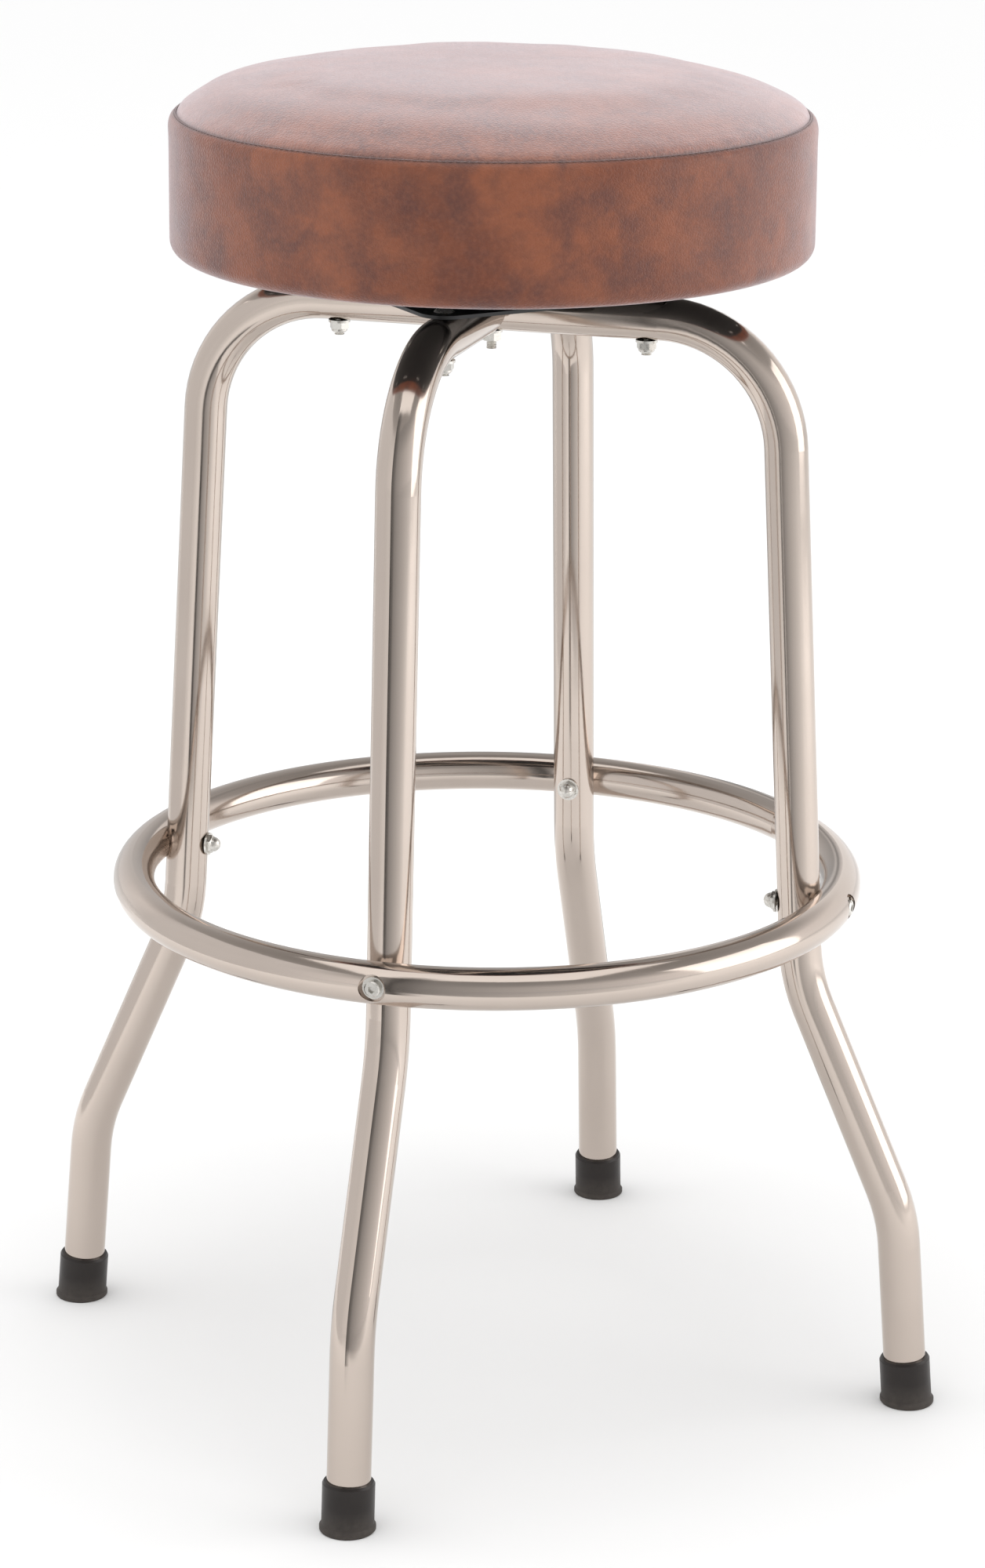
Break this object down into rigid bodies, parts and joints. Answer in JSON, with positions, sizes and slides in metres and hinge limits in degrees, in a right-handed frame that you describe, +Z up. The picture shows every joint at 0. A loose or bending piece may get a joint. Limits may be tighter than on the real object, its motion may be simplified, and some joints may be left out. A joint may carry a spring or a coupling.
{
  "type": "bar stool",
  "caption": "Backless bar stool with a round padded swivel seat, splayed bent tube legs with rubber tips, and a tubular foot ring.",
  "frame": {"origin": "on the floor, midway between the four feet, under the seat's swivel axis", "axes": "+Z up along the swivel axis; the four legs stand on the X and Y axes: right +X, back +Y, left -X, front -Y"},
  "size_m": [0.5664, 0.5664, 0.7916],
  "materials": {
    "chrome_tube": "polished",
    "bright_fastener": "satin",
    "foot_rubber": "matte",
    "black_swivel_steel": "satin",
    "cage_steel": "satin",
    "ball_steel": "polished",
    "plywood": "matte",
    "seat_foam": "matte",
    "cover_top_leatherette": "satin",
    "cover_side_leatherette": "satin",
    "black_dust_cloth": "matte",
    "staple_wire": "satin"
  },
  "bodies": {
    "base": {"side_leg_frame": "chrome_tube", "front_back_leg_frame": "chrome_tube", "foot_ring": "chrome_tube", "right_foot_tip": "foot_rubber", "back_foot_tip": "foot_rubber", "left_foot_tip": "foot_rubber", "front_foot_tip": "foot_rubber", "ring_bolts": "bright_fastener", "ring_washers": "bright_fastener", "ring_cap_nuts": "bright_fastener", "swivel_base_plate": "black_swivel_steel", "plate_bolts": "bright_fastener", "plate_washers": "bright_fastener", "plate_lock_nuts": "bright_fastener", "cross_bolt": "bright_fastener", "cross_washer": "bright_fastener", "cross_nut": "bright_fastener"},
    "bearing": {"ball_cage": "cage_steel", "bearing_balls": "ball_steel"},
    "seat": {"swivel_top_plate": "black_swivel_steel", "seat_screws": "bright_fastener", "tee_nuts": "bright_fastener", "seat_board": "plywood", "foam_pad": "seat_foam", "seat_cover_top": "cover_top_leatherette", "seat_cover_band": "cover_side_leatherette", "dust_cover": "black_dust_cloth", "staples": "staple_wire"}
  },
  "joints": [
    {"name": "seat_swivel", "type": "hinge", "parent": "base", "child": "seat", "pos_m": [0, 0, 0.6758], "axis": [0, 0, 1], "continuous": true},
    {"name": "bearing_roll", "type": "hinge", "parent": "base", "child": "bearing", "pos_m": [0, 0, 0.6758], "axis": [0, 0, 1], "continuous": true}
  ],
  "couplings": [
    {"joint": "bearing_roll", "follows": "seat_swivel", "ratio": 0.5}
  ]
}
